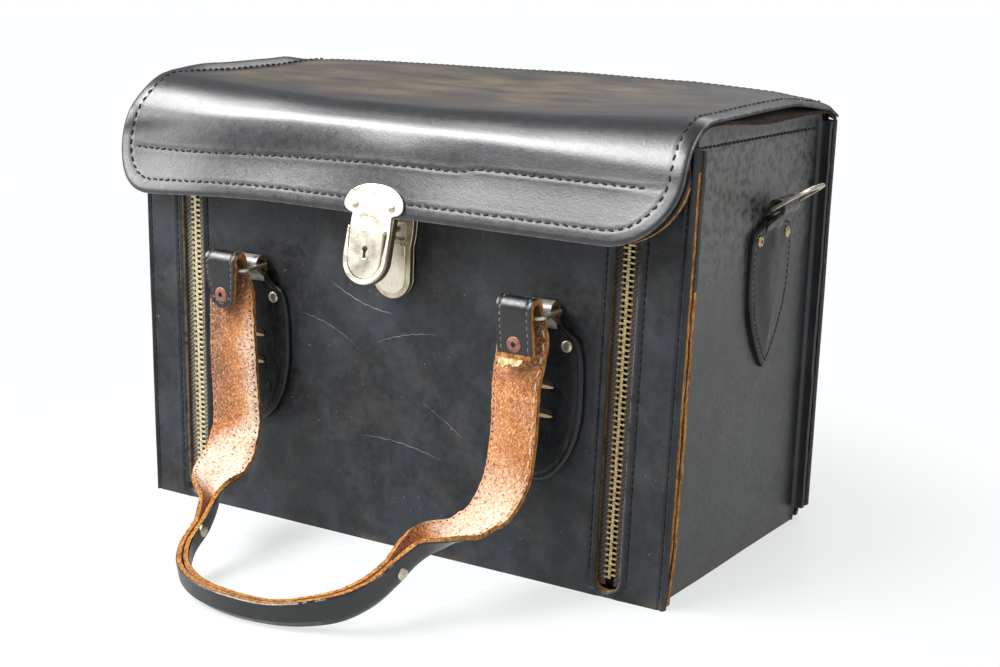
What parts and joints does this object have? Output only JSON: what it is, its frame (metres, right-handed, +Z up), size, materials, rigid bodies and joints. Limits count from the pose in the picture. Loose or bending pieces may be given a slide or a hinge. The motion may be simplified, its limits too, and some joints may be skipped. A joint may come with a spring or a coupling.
{
  "type": "camera case",
  "caption": "Stiff black leather camera case with a drop front between metal zips, an overhanging lid with a hasp lock, strap handles and side rings.",
  "frame": {"origin": "middle of the case's underside, on the surface it stands on", "axes": "+Z up, the front with the lock faces -Y, +X to the right as seen from the front"},
  "size_m": [0.4162, 0.4574, 0.2581],
  "materials": {
    "black_leather": "smooth bridle leather, waxed, softly glossy",
    "lid_leather": "smooth bridle leather, worn brown on top",
    "raw_leather": "undyed cut edge",
    "suede": "flesh side of the strap, rough and mottled",
    "board": "pressed leather board",
    "zip_tape": "woven cotton tape",
    "brass": "aged, worn bright on the edges",
    "nickel": "warm nickel plate, polished",
    "steel": "flat steel, lightly tarnished",
    "copper": "copper, dull"
  },
  "bodies": {
    "case": {"base_panel": "black_leather", "base_board": "board", "back_panel": "black_leather", "side_panel_left": "black_leather", "side_panel_right": "black_leather", "front_strip_left": "black_leather", "front_strip_right": "black_leather", "corner_welt_front_left": "raw_leather", "corner_welt_front_right": "raw_leather", "corner_welt_back_left": "raw_leather", "corner_welt_back_right": "raw_leather", "zip_tape_outer_left": "zip_tape", "zip_tape_outer_right": "zip_tape", "zip_teeth_outer_left": "brass", "zip_teeth_outer_right": "brass", "rear_chape_left": "black_leather", "rear_chape_right": "black_leather", "rear_chape_rivets_left": "steel", "rear_chape_rivets_right": "steel", "side_chape_left": "black_leather", "side_chape_right": "black_leather", "side_chape_rivets_left": "brass", "side_chape_rivets_right": "brass"},
    "lid": {"lid_panel": "lid_leather", "lid_lining": "black_leather", "hasp_body": "nickel", "hasp_rivets": "nickel"},
    "lock_button": {"lock_button": "nickel"},
    "front_panel": {"front_panel": "black_leather", "zip_tape_inner_left": "zip_tape", "zip_tape_inner_right": "zip_tape", "zip_teeth_inner_left": "brass", "zip_teeth_inner_right": "brass", "front_chape_left": "black_leather", "front_chape_right": "black_leather", "front_chape_rivets_left": "steel", "front_chape_rivets_right": "steel", "lock_receiver": "nickel", "catch_stud": "nickel"},
    "zip_slider_left": {"zip_slider_left": "brass"},
    "zip_slider_right": {"zip_slider_right": "brass"},
    "zip_pull_left": {"zip_pull_left": "brass"},
    "zip_pull_right": {"zip_pull_right": "brass"},
    "front_rings": {"front_ring_left": "steel", "front_ring_right": "steel"},
    "front_handle": {"front_handle_strap": "suede", "front_tab_rivet_left": "copper", "front_tab_rivet_right": "copper", "front_grip_rivet_left": "brass", "front_grip_rivet_right": "brass"},
    "rear_rings": {"rear_ring_left": "steel", "rear_ring_right": "steel"},
    "rear_handle": {"rear_handle_strap": "suede", "rear_tab_rivet_left": "copper", "rear_tab_rivet_right": "copper", "rear_grip_rivet_left": "brass", "rear_grip_rivet_right": "brass"},
    "side_ring_left": {"side_ring_left": "steel"},
    "side_ring_right": {"side_ring_right": "steel"}
  },
  "joints": [
    {"name": "lid_hinge", "type": "hinge", "parent": "case", "child": "lid", "pos_m": [0, 0.091, 0.25165], "axis": [-1, 0, 0], "range_deg": [0, 224]},
    {"name": "lock_press", "type": "hinge", "parent": "lid", "child": "lock_button", "pos_m": [0.004, -0.11675, 0.16257], "axis": [-1, 0, 0], "range_deg": [0, 5], "stiffness_Nm_per_rad": 0.4},
    {"name": "front_drop", "type": "hinge", "parent": "case", "child": "front_panel", "pos_m": [0, -0.09, 0], "axis": [1, 0, 0], "range_deg": [0, 84]},
    {"name": "zip_slide_right", "type": "slide", "parent": "case", "child": "zip_slider_right", "axis": [-0.0242, -0.0403, -0.9989], "range_m": [0, 0.205]},
    {"name": "zip_slide_left", "type": "slide", "parent": "case", "child": "zip_slider_left", "axis": [0.0242, -0.0403, -0.9989], "range_m": [0, 0.205]},
    {"name": "pull_swing_right", "type": "hinge", "parent": "zip_slider_right", "child": "zip_pull_right", "pos_m": [0.15031, -0.08128, 0.236], "axis": [-1, 0, 0], "range_deg": [0, 25]},
    {"name": "pull_swing_left", "type": "hinge", "parent": "zip_slider_left", "child": "zip_pull_left", "pos_m": [-0.15031, -0.08128, 0.236], "axis": [-1, 0, 0], "range_deg": [0, 25]},
    {"name": "front_ring_swing", "type": "hinge", "parent": "front_panel", "child": "front_rings", "pos_m": [0, -0.08949, 0.154], "axis": [1, 0, 0], "range_deg": [-50, 0]},
    {"name": "front_handle_swing", "type": "hinge", "parent": "front_rings", "child": "front_handle", "pos_m": [0, -0.10899, 0.154], "axis": [1, 0, 0], "range_deg": [-100, 0]},
    {"name": "rear_ring_swing", "type": "hinge", "parent": "case", "child": "rear_rings", "pos_m": [0, 0.0957, 0.154], "axis": [-1, 0, 0], "range_deg": [-50, 0]},
    {"name": "rear_handle_swing", "type": "hinge", "parent": "rear_rings", "child": "rear_handle", "pos_m": [0, 0.1152, 0.154], "axis": [-1, 0, 0], "range_deg": [-100, 0]},
    {"name": "side_ring_swing_right", "type": "hinge", "parent": "case", "child": "side_ring_right", "pos_m": [0.1876, 0.02262, 0.201], "axis": [0, 1, 0], "range_deg": [-45, 115]},
    {"name": "side_ring_swing_left", "type": "hinge", "parent": "case", "child": "side_ring_left", "pos_m": [-0.1876, 0.02262, 0.201], "axis": [0, -1, 0], "range_deg": [-45, 115]}
  ],
  "couplings": [
    {"joint": "front_drop", "follows": "lid_hinge", "ratio": 0.375}
  ]
}
